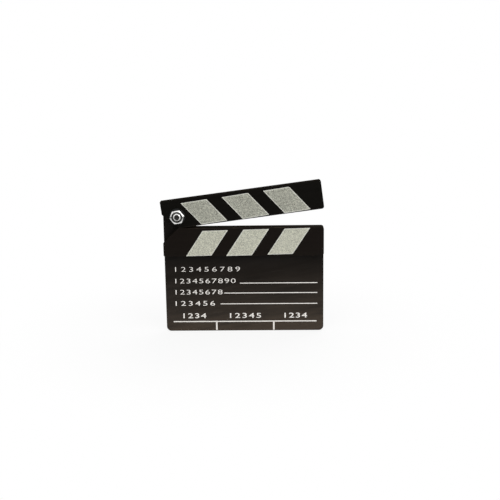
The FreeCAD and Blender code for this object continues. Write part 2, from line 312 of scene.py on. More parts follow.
# Where each begins and is full: haze with painted sheen down the field and at the foot, painted
# light to the right.
FIELD_HAZE_AND_SHEEN, FOOT_HAZE_AND_SHEEN, RIGHT_PAINTED_LIGHT = (112.0, -45.0), (30.0, -14.0), (-140.0, 60.0)
FRONT_ONLY = (0.0, -0.6)

slate_paint, shader, place = new_finish("slate_paint", specular=0.2)
across, _, height = along_axes(place)
swept = place.node(
    "VectorRotate", {"rotation_type": "Y_AXIS"}, {"Vector": place, "Angle": WIPE_LEAN}
)
wipes = soft_step(grain(swept, WIPE_GRAIN, 5.0, 0.6), 0.26, 0.74)
scratches = soft_step(grain(swept, SCRATCH_GRAIN, 1.0), 0.68, 0.78)
pimples = grain(place, PIMPLE_GRAIN, 3.0, 0.6)
specks = soft_step(grain(place, SPECK_GRAIN), 0.70, 0.80)
scuffs = soft_step(grain(place, SCUFF_GRAIN, 4.0, 0.6), 0.42, 0.70)
faces = flat_faces(place)
front_side = soft_step(facing(place), *FRONT_ONLY)
handled = 0.05 + 0.18 * scuffs
# Chalk haze with painted sheen, lighter toward the foot, and painted light that makes the right
# side lighter.
chalk_and_sheen = 0.84 * soft_step(height, *FIELD_HAZE_AND_SHEEN) + 0.58 * soft_step(height, *FOOT_HAZE_AND_SHEEN)
chalk_and_sheen = chalk_and_sheen * (0.72 + 0.33 * soft_step(across, *RIGHT_PAINTED_LIGHT))
haze_and_sheen = handled + front_side * (chalk_and_sheen - handled)
painted = laid_over(haze_and_sheen * (0.5 + wipes), SLATE_BLACK, SLATE_HAZE_AND_SHEEN)
painted = laid_over(0.10 * specks + 0.09 * scratches, painted, CHALK_GREY)
rubbed = corner_lines(place) * soft_step(grain(place, RUB_GRAIN, 5.0, 0.65), 0.55, 0.66)
laid_over(rubbed * BOARD_WEAR, painted, BARE_BOARD).to(shader, "Base Color")
(0.28 + 0.14 * wipes + 0.08 * pimples + 0.08 * scuffs).to(shader, "Roughness")
bump(pimples + 0.4 * wipes - 0.5 * scratches, 0.045, 0.6).to(shader, "Normal")
pressed = soft_step(grain(place, PRESSED_GRAIN, 5.0, 0.65), 0.30, 0.70)
edge_paint = laid_over(pressed, SLATE_BLACK, EDGE_GREY)
edge_paint = laid_over(rubbed * BOARD_WEAR, edge_paint, BARE_BOARD)
dull_edges(shader, faces, edge_paint, bump(pressed, 0.10, 0.8))
dress("slate_board", slate_paint)

# %% [markdown]
# The sticks are planed wood under a satin black brushed along their length, so both the
# grain and the brush marks run with the stick. The clap stick has a darker copy of the
# same paint: painted shade, as the higher stick gets less light. It rests seven degrees
# open: its place is first turned back about the pivot, or its grain would run level across
# it. Where the sticks meet, many claps have rubbed the paint thin in streaks along the grain.

# %% Stick paint
FIXED_BLACK, FIXED_GREY = (0.0050, 0.0033, 0.0022), (0.0092, 0.0060, 0.0041)
# The clap stick's colours are a darker copy of the paint: painted shade of the higher stick.
CLAP_SHADED_BLACK, CLAP_SHADED_GREY = (0.0024, 0.0019, 0.0012), (0.0048, 0.0038, 0.0025)
THIN_PAINT, CLAP_WEAR, CLAP_REACH = (0.024, 0.019, 0.014), 0.8, (1.4, 0.2)
BARE_WOOD, WOOD_WEAR = (0.075, 0.053, 0.034), 0.45
FIBRE_GRAIN, STROKE_GRAIN, PORE_GRAIN = (0.022, 0.6, 0.55), (0.015, 1.0, 1.6), (0.10, 2.4, 2.4)
STREAK_GRAIN, CORNER_GRAIN = (0.03, 0.4, 0.4), (0.12, 0.3, 0.3)
# How high the pivot stands above the clap stick's lower edge.
PIVOT_RISE = 14.7


def stick_paint(name, black, grey, tilt, clapping_edge):
    """Satin black for one stick. clapping_edge is its height in the stick's own place."""
    material, shader, place = new_finish(name, specular=0.12)
    faces, corners = flat_faces(place), corner_lines(place)
    if tilt:
        place = place.node(
            "VectorRotate",
            {"rotation_type": "Y_AXIS"},
            {"Vector": place, "Center": PIVOT / MM, "Angle": tilt},
        )
    height = along_axes(place)[2]
    fibres = grain(place, FIBRE_GRAIN, 5.0, 0.6)
    strokes = grain(place, STROKE_GRAIN)
    near_clap = soft_step(without_sign(height - clapping_edge), *CLAP_REACH)
    streaks = near_clap * soft_step(grain(place, STREAK_GRAIN, 5.0, 0.6), 0.46, 0.70)
    rubbed = corners * soft_step(grain(place, CORNER_GRAIN, 5.0, 0.65), 0.56, 0.66)
    painted = laid_over(fibres, black, grey)
    painted = laid_over(streaks * CLAP_WEAR, painted, THIN_PAINT)
    laid_over(rubbed * WOOD_WEAR, painted, BARE_WOOD).to(shader, "Base Color")
    (0.34 + 0.12 * strokes + 0.10 * fibres).to(shader, "Roughness")
    bump(0.7 * strokes + fibres - 0.5 * streaks, 0.06, 0.6).to(shader, "Normal")
    pores = soft_step(grain(place, PORE_GRAIN, 4.0, 0.6), 0.30, 0.70)
    edge_paint = laid_over(pores, black, EDGE_GREY)
    edge_paint = laid_over(streaks * CLAP_WEAR, edge_paint, THIN_PAINT)
    edge_paint = laid_over(rubbed * WOOD_WEAR, edge_paint, BARE_WOOD)
    dull_edges(shader, faces, edge_paint, bump(pores, 0.10, 0.8))
    return material


fixed_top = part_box("fixed_stick")[1].z / MM
clap_foot = PIVOT.z / MM - PIVOT_RISE
fixed_paint = stick_paint("fixed_stick_paint", FIXED_BLACK, FIXED_GREY, 0.0, fixed_top)
# The clap stick gets the darker copy, as painted shade.
clap_shaded_paint = stick_paint("clap_stick_shaded_paint", CLAP_SHADED_BLACK, CLAP_SHADED_GREY, CLAP_TILT, clap_foot)
dress("fixed_stick", fixed_paint)
dress("clap_stick", clap_shaded_paint)
print("clapping edges at", round(fixed_top, 1), "and", round(clap_foot, 1), "mm")

# %% [markdown]
# The stripes are cut from silver-grey self-adhesive film: a metal-flake lacquer on thin
# plastic. A pure metal would turn black wherever it mirrors something dark, and a grey
# paint would look dead, so the shader is part metal. Smooth noise would look like stone,
# so the flakes are Voronoi cells, each with a chance tone and shine of its own. The clap
# stick's film is a darker copy with more varied flakes; its darkness is painted shade of
# the higher stick. Every stripe has a thin bright rim painted into its colour, a painted
# highlight of the cut edge. Where that rim lies is worked out from the four corners that
# the stripe is cut to.

# %% Stripe film
FIXED_SILVER, FIXED_CONTRAST = (0.610, 0.610, 0.505), 0.85
# The clap stick's film is darker as painted shade of the higher stick.
CLAP_SHADED_SILVER, CLAP_CONTRAST = (0.448, 0.450, 0.380), 1.35
# A bright rim painted along the cut edge of every stripe: a painted highlight.
RIM_HIGHLIGHT_SILVER, RIM_HIGHLIGHT_REACH = (0.86, 0.86, 0.77), (1.10, 0.50)
FLAKES_PER_MM = 2.0
CLOUD_GRAIN, FILM_RUB_GRAIN = 0.5, (0.05, 0.2, 0.12)


def with_neighbours(outline):
    """Each point of a closed outline, between the one before it and the one after it."""
    return zip(outline[-1:] + outline[:-1], outline, outline[1:] + outline[:1])


def from_outline(place, corners):
    """How far inside an outline a place is, in mm. Its corners go round anticlockwise."""
    nearest = None
    for _, here, there in with_neighbours(corners):
        run = (there - here).normalized()
        inward = Vector((-run.y, 0.0, run.x))
        reach = place.node(
            "VectorMath", {"operation": "DOT_PRODUCT"}, {0: place, 1: inward}, out="Value"
        )
        inside = reach - inward.dot((here.x, 0.0, here.y))
        if nearest is None:
            nearest = inside
        else:
            nearest = inside.node("Math", {"operation": "MINIMUM"}, {0: nearest, 1: inside})
    return nearest


def stripe_film(name, silver, contrast, corners):
    """Silver film: flakes that each have a tone and a lie of their own, clouds, rubs, and a painted
    highlight along the rim.
    """
    material, shader, place = new_finish(name)
    highlight_rim = soft_step(from_outline(place, corners), *RIM_HIGHLIGHT_REACH)
    cells = place.node("TexVoronoi", None, {"Vector": place, "Scale": FLAKES_PER_MM}, out="Color")
    tone, lie, shine = along_axes(cells)
    clouds = grain(place, CLOUD_GRAIN, 3.0, 0.6)
    rubs = grain(place, FILM_RUB_GRAIN, 3.0)
    flakes = 1.0 + contrast * (1.04 * tone + 0.30 * clouds + 0.14 * rubs - 0.74)
    # The rim's light colour laid over the flakes is a painted highlight.
    laid_over(highlight_rim, shaded(silver, flakes), RIM_HIGHLIGHT_SILVER).to(shader, "Base Color")
    (0.24 + 0.14 * lie + 0.10 * rubs - 0.06 * highlight_rim).to(shader, "Roughness")
    (0.20 + 0.30 * shine).to(shader, "Metallic")
    bump(lie + 0.5 * clouds, 0.015, 0.5).to(shader, "Normal")
    return material


print("film with", FLAKES_PER_MM, "flakes on a millimetre")

# %% [markdown]
# Nylon washers are punched from black sheet: matt, slightly waxy, with a fine texture
# from the roll. Only their rims and the ring around the nut can be seen.

# %% Washer nylon
NYLON_BLACK, NYLON_GREY = (0.0055, 0.0055, 0.0055), (0.016, 0.016, 0.016)
ROLL_GRAIN, NYLON_SCUFF_GRAIN = 3.0, (0.3, 1.0, 0.9)

washer_nylon, shader, place = new_finish("washer_nylon", specular=0.35)
scuffs = grain(place, NYLON_SCUFF_GRAIN, 4.0, 0.6)
laid_over(scuffs, NYLON_BLACK, NYLON_GREY).to(shader, "Base Color")
(0.42 + 0.25 * scuffs).to(shader, "Roughness")
bump(grain(place, ROLL_GRAIN), 0.02, 0.5).to(shader, "Normal")
dress("rear_washer", washer_nylon)
dress("front_washer", washer_nylon)

# %% [markdown]
# The bolt, the nut and the screws are bright zinc-plated steel. Zinc is a little uneven:
# cloudy in tone, with fine rings left by the lathe and a few dull handling marks. Each
# of these pieces is turned about an axis along Y, so the lathe rings are a wave in the
# distance from the piece's own origin, which bolt and nut have on that axis. The four
# screws are one piece, and the same wave looks like fine brushing on their small heads.

# %% Zinc-plated steel
ZINC = (0.84, 0.84, 0.82)
PIVOT_RINGS_PER_MM, SCREW_RINGS_PER_MM = 2.2, 3.5
ZINC_CLOUD_GRAIN, MARK_GRAIN = 0.45, 1.7


def length_of(vector):
    return vector.node("VectorMath", {"operation": "LENGTH"}, {0: vector}, out="Value")


def zinc_plate(name, rings_per_mm):
    """Bright zinc with lathe rings around the piece's own Y axis."""
    material, shader, place = new_finish(name)
    out = length_of(place * (1.0, 0.0, 1.0))
    angle = out * (2.0 * math.pi * rings_per_mm)
    rings = angle.node("Math", {"operation": "SINE"}, {0: angle})
    clouds = soft_step(grain(place, ZINC_CLOUD_GRAIN, 4.0, 0.6), 0.25, 0.75)
    marks = soft_step(grain(place, MARK_GRAIN, 3.0, 0.7), 0.58, 0.72)
    shaded(ZINC, 0.88 + 0.22 * clouds - 0.25 * marks).to(shader, "Base Color")
    (0.08 + 0.12 * clouds + 0.16 * marks).to(shader, "Roughness")
    (1.0 - 0.15 * marks).to(shader, "Metallic")
    turned = flat_faces(place) * rings
    bump(turned * 0.25 + 0.5 * clouds, 0.012, 0.5).to(shader, "Normal")
    return material


pivot_zinc = zinc_plate("pivot_zinc", PIVOT_RINGS_PER_MM)
screw_zinc = zinc_plate("screw_zinc", SCREW_RINGS_PER_MM)
print("zinc for the pivot and for the screws")

# %% [markdown]
# Bolt, nut and screws are all made of rings around one axis, and differ in how far out
# each ring lies at each angle: the same everywhere for a shank, six-sided for a nut or a
# socket, a cross for a screw head, a slowly climbing tooth for a thread. So one function
# that skins a list of rings makes them all, and no Boolean has to cut anything.

# %% Skins over rings
TOOTH_SLOPE, TOOTH_SINK = 1.6, 0.3


def evenly(start, end, parts):
    """Places from start to end that are equally far apart."""
    return [start + (end - start) * part / parts for part in range(parts + 1)]


def between(value, low=0.0, high=1.0):
    return max(low, min(high, value))


def at(value, angle):
    """A ring's measure at an angle, whether it is a number or a function of the angle."""
    return value(angle) if callable(value) else value


def skin_of_rings(rings, steps, turn=0.0, joined=False):
    """Points and faces of rings about the Y axis. A ring is (place along Y, distance out),
    in millimetres. The ends are closed with a fan, or joined to each other for a nut."""
    points, faces = [], []
    for along, out in rings:
        for step in range(steps):
            angle = 2.0 * math.pi * step / steps
            seen = angle + turn
            reach = at(out, angle)
            points.append((reach * math.cos(seen), at(along, angle), reach * math.sin(seen)))
    count = len(rings)
    for one in range(count if joined else count - 1):
        first, second = one * steps, (one + 1) % count * steps
        for step in range(steps):
            after = (step + 1) % steps
            faces.append((first + step, first + after, second + after, second + step))
    if not joined:
        for one in (0, count - 1):
            ring = range(one * steps, (one + 1) * steps)
            points.append((0.0, sum(points[spot][1] for spot in ring) / steps, 0.0))
            faces += [(ring[s], ring[(s + 1) % steps], len(points) - 1) for s in range(steps)]
    return points, faces


def six_sided(flats):
    """Distance out of a hexagon with that width across flats, a corner at angle 0."""
    def out(angle):
        return flats / 2 / math.cos((angle % (math.pi / 3)) - math.pi / 6)
    return out


def thread_tooth(along, angle, pitch):
    """0 in the root and 1 on the crest of a right-handed thread, along Y toward the front."""
    turn = (-along / pitch - angle / (2 * math.pi)) % 1.0
    return between(TOOTH_SLOPE * (1.0 - abs(2.0 * turn - 1.0)) - TOOTH_SINK)


print("a tooth's crest is flat over", round(1.0 - (1.0 + TOOTH_SINK) / TOOTH_SLOPE, 2), "pitch")

# %% [markdown]
# Each new piece is one mesh that is made from points and faces in millimetres. Points
# that fall together are joined and all faces are turned outward, so that the piece is a
# closed solid when it is handed on. Faces that meet at a small angle are shaded as one
# smooth surface, and the others keep their edge.

# %% From points and faces to a piece
SAME_POINT = 0.0005
SMOOTH_UNDER = 32.0


def add_piece(name, points, faces, material, origin=(0, 0, 0), smooth_under=SMOOTH_UNDER):
    """A piece from points in millimetres about origin, with faces turned outward."""
    mesh = bpy.data.meshes.new(name)
    mesh.from_pydata([[v * MM for v in point] for point in points], [], faces)
    shell = bmesh.new()
    shell.from_mesh(mesh)
    bmesh.ops.remove_doubles(shell, verts=shell.verts, dist=SAME_POINT * MM)
    bmesh.ops.recalc_face_normals(shell, faces=shell.faces)
    shell.to_mesh(mesh)
    shell.free()
    mesh.polygons.foreach_set("use_smooth", [True] * len(mesh.polygons))
    mesh.set_sharp_from_angle(angle=math.radians(smooth_under))
    mesh.materials.append(material)
    piece = bpy.data.objects.new(name, mesh)
    piece.location = origin
    bpy.context.scene.collection.objects.link(piece)
    print(f"{name}: {len(mesh.vertices)} points, {len(mesh.polygons)} faces")
    return piece


# %% [markdown]
# The pivot bolt has a countersunk head with a hexagon socket in the back of the tab, a
# plain shank for the clap stick to turn on, and a thread under the nut. Its bevelled end
# is the bright ring in the middle of the nut. The thread is cut back where the bevel is
# lower than its crest, as on a real bolt, so it runs out in a small bright hook.

# %% Pivot bolt with its thread and socket
ROUND_STEPS = 72
BOLT_RADIUS, SHANK_PLAY, CREST_PLAY = 5.0, 0.02, 0.06
THREAD_PITCH, THREAD_DEPTH, THREAD_LEAD, THREAD_ROWS = 1.5, 0.8, 0.6, 56
THREAD_RUNOUT, RUNOUT_ROOM, SHANK_STEP = 0.3, 0.4, 0.05
END_BEVEL, END_ROUND = 1.6, 0.12
HEAD_RADIUS, HEAD_RIM = 8.5, 0.5
# The head's edge: how far below its face, and how far in from its radius.
HEAD_EDGE = ((0.0, 0.25), (0.12, 0.06), (HEAD_RIM, 0.0))
SOCKET_FLATS, SOCKET_DEPTH, SOCKET_LEAD, SOCKET_TAPER = 6.0, 3.0, 0.25, 0.1
DRILL_DEPTH, DRILL_TIP = 0.8, 0.4
bolt_end, bolt_head = front_and_back("pivot_bolt")
nut_front, nut_back = front_and_back("pivot_nut")
thread_start = nut_back + THREAD_LEAD


def bolt_thread(along):
    """A ring of the bolt's thread, growing out of the shank and cut by the end bevel."""
    grown = between((thread_start - along) / THREAD_PITCH)
    grown *= between((along - bolt_end - RUNOUT_ROOM) / END_BEVEL, low=THREAD_RUNOUT)
    bevel = BOLT_RADIUS - END_BEVEL + (along - bolt_end)

    def out(angle):
        tooth = thread_tooth(along, angle, THREAD_PITCH)
        return min(BOLT_RADIUS - CREST_PLAY - grown * THREAD_DEPTH * (1.0 - tooth), bevel)
    return along, out


cone_end = bolt_head - HEAD_RIM - (HEAD_RADIUS - BOLT_RADIUS)
bolt_rings = [
    (bolt_head - SOCKET_DEPTH - DRILL_DEPTH, DRILL_TIP),
    (bolt_head - SOCKET_DEPTH, six_sided(SOCKET_FLATS - SOCKET_TAPER)),
    (bolt_head - SOCKET_LEAD, six_sided(SOCKET_FLATS)),
    (bolt_head, six_sided(SOCKET_FLATS + 2 * SOCKET_LEAD)),
]
bolt_rings += [(bolt_head - below, HEAD_RADIUS - inside) for below, inside in HEAD_EDGE]
bolt_rings += [(along, BOLT_RADIUS - SHANK_PLAY) for along in (cone_end, thread_start + SHANK_STEP)]
bolt_rings += [bolt_thread(along) for along in evenly(thread_start, bolt_end, THREAD_ROWS)]
bolt_rings.append((bolt_end, BOLT_RADIUS - END_BEVEL - END_ROUND))
pivot_axis = (PIVOT.x, 0.0, PIVOT.z)
bolt_skin = skin_of_rings(bolt_rings, ROUND_STEPS)
bolt = add_piece("pivot_bolt_threaded", *bolt_skin, pivot_zinc, pivot_axis)
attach(bolt, "board")
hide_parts("pivot_bolt")

# %% [markdown]
# The nut's corners are turned off by a cone, so each bevel is widest at a corner and the
# edge of each flat is a curve. With rings that needs no cutting: at every angle the
# bevel goes down until the cone meets the flat. The bore has the bolt's thread inside.

# %% Pivot nut with its bevels and thread
NUT_FLATS, NUT_CROWN, NUT_BEVEL = 16.0, 6.9, math.tan(math.radians(30.0))
NUT_CORNERS = 0.570 * NUT_FLATS
NUT_TURN = math.radians(9.0)
NUT_ROWS, NUT_SMOOTH_UNDER = 36, 24.0
BORE_RADIUS, BORE_BEVEL = 4.3, 0.9


def nut_side(angle):
    """The nut's side: a hexagon whose corners are a little rounded."""
    return min(six_sided(NUT_FLATS)(angle), NUT_CORNERS)


def bevel_fall(angle):
    return (nut_side(angle) - NUT_CROWN) * NUT_BEVEL


def nut_thread(along):
    """A ring of the nut's thread, opened by a bevel at both ends of the bore."""
    def out(angle):
        tooth = thread_tooth(along, angle + NUT_TURN, THREAD_PITCH)
        edge = min(nut_back - along, along - nut_front)
        return max(BORE_RADIUS + THREAD_DEPTH * tooth, BORE_RADIUS + BORE_BEVEL - edge)
    return along, out


nut_rings = [
    (nut_back, NUT_CROWN),
    (lambda angle: nut_back - bevel_fall(angle), nut_side),
    (lambda angle: nut_front + bevel_fall(angle), nut_side),
    (nut_front, NUT_CROWN),
    (nut_front, BORE_RADIUS + BORE_BEVEL),
]
nut_rings += [nut_thread(along) for along in evenly(nut_front, nut_back, NUT_ROWS)[1:-1]]
nut_rings.append((nut_back, BORE_RADIUS + BORE_BEVEL))
nut_skin = skin_of_rings(nut_rings, ROUND_STEPS, NUT_TURN, joined=True)
nut = add_piece("pivot_nut_threaded", *nut_skin, pivot_zinc, pivot_axis, NUT_SMOOTH_UNDER)
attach(nut, "board")
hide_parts("pivot_nut")

# %% [markdown]
# Four wood screws hold the fixed stick from behind. Only their heads show, sunk in the
# back of the slate: a cross recess that narrows as it goes in. The thread in the wood is
# modelled as well, because the piece is also handed on as a mesh of its own. Each screw
# stopped at its own angle, so the crosses are turned by seeded chance.

# %% Stick screws with cross recesses
SCREW_COUNT, SCREW_STEPS, SCREW_ROWS, SCREW_SEED = 4, 64, 63, 7
# The recess: depth below the face, reach and half width of its arms. The head: depth, radius.
RECESS = ((1.7, 0.55, 0.25), (0.9, 1.30, 0.40), (0.0, 1.95, 0.52))
SCREW_HEAD = ((0.0, 3.35), (0.12, 3.48), (0.35, 3.48), (2.2, 1.62), (3.4, 1.45))
SCREW_RADIUS, SCREW_PITCH, SCREW_SHANK = 3.5, 1.6, 3.6
SCREW_CORE, SCREW_TOOTH, SCREW_TAPER, SCREW_POINT = 1.12, 0.58, 3.0, 0.03
screw_tip, screw_face = front_and_back("stick_screws")
screw_low, screw_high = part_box("stick_screws")
screw_height = (screw_low.z + screw_high.z) / 2 / MM
first_screw, last_screw = screw_low.x / MM + SCREW_RADIUS, screw_high.x / MM - SCREW_RADIUS


def cross(reach, half_width):
    """Distance out of a cross with arms of that reach and half width."""
    def out(angle):
        lean = (angle + math.pi / 4) % (math.pi / 2) - math.pi / 4
        side = half_width / max(abs(math.sin(lean)), 1e-6)
        return min(reach / math.cos(lean), side)
    return out


def screw_thread(along):
    """A ring of a wood screw's thread, tapering to its point."""
    taper = min(1.0, (along - screw_tip) / SCREW_TAPER + SCREW_POINT)

    def out(angle):
        tooth = thread_tooth(along, angle, SCREW_PITCH) ** 2
        return taper * (SCREW_CORE + SCREW_TOOTH * tooth)
    return along, out


screw_rings = [(screw_face - below, cross(reach, half)) for below, reach, half in RECESS]
screw_rings += [(screw_face - below, radius) for below, radius in SCREW_HEAD]
thread_rows = evenly(screw_face - SCREW_SHANK, screw_tip, SCREW_ROWS)
screw_rings += [screw_thread(along) for along in thread_rows]

chance = random.Random(SCREW_SEED)
screw_points, screw_faces = [], []
for middle in evenly(first_screw, last_screw, SCREW_COUNT - 1):
    points, faces = skin_of_rings(screw_rings, SCREW_STEPS, chance.uniform(0.0, math.pi / 2))
    offset = len(screw_points)
    screw_points += [(x + middle, y, z + screw_height) for x, y, z in points]
    screw_faces += [tuple(corner + offset for corner in face) for face in faces]
screws = add_piece("stick_screws_threaded", screw_points, screw_faces, screw_zinc)
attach(screws, "board")
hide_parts("stick_screws")

# %% [markdown]
# Film is cut with a knife along a straight-edge and laid on by hand. So its sides waver a
# little, its corners are slightly rounded, and its edge lies down toward the wood. The
# CAD stripes are plain slabs with knife-sharp edges. Each is replaced by a piece that is
# cut to nearly its outline. No two were cut and laid alike: a side is a millimetre or so
# farther in or out, and all of them are turned a little to the left.

# %% Outline of a stripe
SAME_SPOT = 0.05
FILM_CORNER, FILM_STEP, FILM_WAVER, FILM_BEVEL = 0.45, 3.5, 0.06, 0.08
FILM_TURN = math.radians(1.3)


def corners_of(node):
    """The corners of a flat piece's outline in mm, anticlockwise from the lower left one."""
    spots = []
    for vertex in node.data.vertices:
        spot = Vector((vertex.co.x, vertex.co.z)) / MM
        if all((spot - other).length > SAME_SPOT for other in spots):
            spots.append(spot)
    middle = sum(spots, Vector((0.0, 0.0))) / len(spots)
    return sorted(spots, key=lambda spot: math.atan2(spot.y - middle.y, spot.x - middle.x))


def laid_by_hand(corners, inward):
    """The outline with its foot, right side, top and left side moved inward, then turned."""
    moved = []
    for side, (before, corner, after) in enumerate(with_neighbours(corners)):
        come, go = (corner - before).normalized(), (after - corner).normalized()
        spread = come.x * go.y - come.y * go.x
        moved.append(corner + (inward[side - 1] * go - inward[side] * come) / spread)
    middle = sum(moved, Vector((0.0, 0.0))) / len(moved)
    return [middle + Matrix.Rotation(FILM_TURN, 2) @ (spot - middle) for spot in moved]


def leftward(run):
    """The direction to the left of a run, which is into an anticlockwise outline."""
    return Vector((-run.y, run.x))


def cut_outline(corners, seed):
    """Points around the film: rounded corners, and sides that waver inward."""
    knife = random.Random(seed)
    points = []
    for before, corner, after in with_neighbours(corners):
        come, go = (corner - before).normalized(), (after - corner).normalized()
        start, end = corner - FILM_CORNER * come, corner + FILM_CORNER * go
        points += [start, (start + 2 * corner + end) / 4, end]
        side = after - FILM_CORNER * go - end
        steps = round(side.length / FILM_STEP)
        for step in range(1, steps):
            waver = knife.uniform(0.0, FILM_WAVER) * leftward(go)
            points.append(end + side * step / steps + waver)
    return points


def drawn_in(outline, by):
    """The outline with every point moved inward."""
    return [
        point + by * leftward((after - before).normalized())
        for before, point, after in with_neighbours(outline)
    ]


print("film turned by", round(math.degrees(FILM_TURN), 1), "degrees")

# %% [markdown]
# With its outline, a stripe is three rings of points: its back on the wood, the foot of
# the bevel, and the front, drawn in by the bevel. Two flat faces close it. A table says
# how far in each side of each stripe lies, and the knife's waver has a seed of its own
# for each stripe, so that the film comes out the same each time.

# %% Film cut to its outline
# How far in from the CAD stripe, in millimetres: foot, right side, top and left side.
HAND_CUT = {
    "clap_stripe_1": (0.3, 0.5, 2.0, 0.0),
    "clap_stripe_2": (0.3, -0.1, 1.4, 0.1),
    "clap_stripe_3": (0.3, 0.0, 0.6, 0.6),
    "fixed_stripe_1": (0.15, 0.0, 0.8, 1.1),
    "fixed_stripe_2": (0.15, 0.9, -0.3, -0.1),
    "fixed_stripe_3": (1.4, 2.1, -1.2, -0.9),
}
FIRST_KNIFE_SEED = 21


def cut_film(node, seed):
    """A stripe of film in the place of a CAD stripe: its back on the wood, its edge bevelled."""
    fixed = node.startswith("fixed")
    corners = laid_by_hand(corners_of(nodes[node]), HAND_CUT[node])
    front, back = front_and_back(node)
    outline = cut_outline(corners, seed)
    rings = [(back, outline), (front + FILM_BEVEL, outline), (front, drawn_in(outline, FILM_BEVEL))]
    points = [(spot.x, deep, spot.y) for deep, ring in rings for spot in ring]
    count = len(outline)
    faces = [tuple(range(count)), tuple(range(2 * count, 3 * count))]
    for first in (0, count):
        for one in range(count):
            after = (one + 1) % count
            faces.append((first + one, first + after, first + count + after, first + count + one))
    # The clap stripes take the darker film, as painted shade.
    look = (FIXED_SILVER, FIXED_CONTRAST) if fixed else (CLAP_SHADED_SILVER, CLAP_CONTRAST)
    material = stripe_film(node + "_film", *look, corners)
    piece = add_piece(node + "_cut", points, faces, material)
    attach(piece, "board" if fixed else "clap")
    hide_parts(node)


for seed, node in enumerate(sorted(HAND_CUT), FIRST_KNIFE_SEED):
    cut_film(node, seed)

# %% [markdown]
# The print on the slate is off-white ink, pressed through a screen. It stands a few
# hundredths of a millimetre proud, its edges are not quite straight, and tiny pinholes
# let the black through. The shape is real geometry, so it keeps its crisp edge at any
# distance; only the pinholes and the unevenness of the ink are left to the material.

# %% Print ink
INK_WHITE, INK_GREY, INK_THIN = (0.90, 0.868, 0.825), (0.62, 0.58, 0.53), (0.30, 0.28, 0.26)
PINHOLE_GRAIN, SCREEN_GRAIN, INK_WEAR_GRAIN = 3.2, 1.4, (0.08, 0.3, 0.35)

print_ink, shader, place = new_finish("print_ink", specular=0.4)
pinholes = soft_step(grain(place, PINHOLE_GRAIN, 2.0, 0.6), 0.66, 0.74)
worn = soft_step(grain(place, INK_WEAR_GRAIN, 4.0, 0.6), 0.60, 0.78)
screened = grain(place, SCREEN_GRAIN, 3.0, 0.6)
inked = laid_over(0.5 * pinholes + 0.45 * worn, INK_WHITE, INK_THIN)
laid_over(screened * 0.25, inked, INK_GREY).to(shader, "Base Color")
(0.48 + 0.22 * screened).to(shader, "Roughness")
bump(screened - pinholes, 0.02, 0.5).to(shader, "Normal")
print("print ink:", len(print_ink.node_tree.nodes), "nodes")

# %% [markdown]
# A printed rule could be one stretched box, but then its edges would be mathematically
# straight and its ends knife-sharp. Here a small four-sided section is carried along the
# rule, with a little seeded wobble on both edges and rounded ends. The back of the ink
# is sunk a hundredth of a millimetre in the paint, so that no gap can show.

# %% Printed rules and dividers
INK_THICK, INK_SLOPE, INK_SUNK = 0.05, 0.04, 0.01
BAR_STEP, BAR_WOBBLE, BAR_END_ROOM = 2.5, 0.03, 1.0
# The rounded end of a bar: how far from the end, and the share of its width there.
BAR_END = ((0.0, 0.62), (0.12, 0.90), (0.30, 1.0))


def lay_ink(name, points, faces):
    """A piece of ink on the slate."""
    piece = add_piece(name, points, faces, print_ink)
    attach(piece, "board")


def printed_bar(name, start, end, width, seed):
    """A bar of ink on the slate's face from start to end, each (across, up)."""
    wobble = random.Random(seed)
    run = Vector(end) - Vector(start)
    length, ahead = run.length, run.normalized()
    aside = leftward(ahead)
    steps = int((length - BAR_END_ROOM) / BAR_STEP)
    stations = list(BAR_END) + [(BAR_STEP * step, 1.0) for step in range(1, steps + 1)]
    stations += [(length - from_end, share) for from_end, share in reversed(BAR_END)]
    points, faces = [], []
    for station, share in stations:
        left, right = (
            side * share * width / 2 + wobble.uniform(-BAR_WOBBLE, BAR_WOBBLE) for side in (-1, 1)
        )
        for edge, out in (
            (left, INK_SUNK),
            (left + INK_SLOPE, -INK_THICK),
            (right - INK_SLOPE, -INK_THICK),
            (right, INK_SUNK),
        ):
            spot = Vector(start) + ahead * station + aside * edge
            points.append((spot.x, SLATE_FACE + out, spot.y))
    for first in range(0, len(points) - 4, 4):
        for one in range(4):
            after = (one + 1) % 4
            faces.append((first + one, first + after, first + 4 + after, first + 4 + one))
    faces += [(0, 1, 2, 3), tuple(range(len(points) - 4, len(points)))]
    lay_ink(name, points, faces)


# %% [markdown]
# Three rules to write on end in line at the right. A heavier rule runs across the foot,
# and two short dividers part the space below it. All places are in millimetres from the
# middle of the slate's lower edge.

# %% The slate's rules
RULES_RIGHT, RULE_WIDTH = 92.3, 1.0
RULES = ((-5.4, 62.7), (-25.9, 49.8), (-30.7, 35.6))
FOOT_RULE_UP, FOOT_RULE_LEFT, FOOT_RULE_RIGHT, FOOT_RULE_WIDTH = 12.4, -91.1, 91.4, 1.4
DIVIDER_ROOM, DIVIDER_WIDTH = 0.9, 2.0
FOOT_RULE_SEED = 11
# Name, place across the slate, and seed.
DIVIDERS = (("left", -36.0, 12), ("right", 36.9, 13))

for number, (left, up) in enumerate(RULES, 1):
    printed_bar(f"write_in_rule_{number}", (left, up), (RULES_RIGHT, up), RULE_WIDTH, number)
foot_ends = (FOOT_RULE_LEFT, FOOT_RULE_UP), (FOOT_RULE_RIGHT, FOOT_RULE_UP)
printed_bar("foot_rule", *foot_ends, FOOT_RULE_WIDTH, FOOT_RULE_SEED)
for side, across, seed in DIVIDERS:
    ends = (across, DIVIDER_ROOM), (across, FOOT_RULE_UP - DIVIDER_ROOM)
    printed_bar(f"foot_divider_{side}", *ends, DIVIDER_WIDTH, seed)

# %% [markdown]
# The rows and columns carry plain running numbers, as on a scoreboard. Blender's own
# typeface is set as a text object, spread until it fills the row's width, and turned
# into a mesh with a little thickness. How far the digits are spread is worked out from
# two trial settings. The digits are also drawn out sideways, since the rows are low and
# wide, and each row has its own weight of stroke, as the screen printed it.

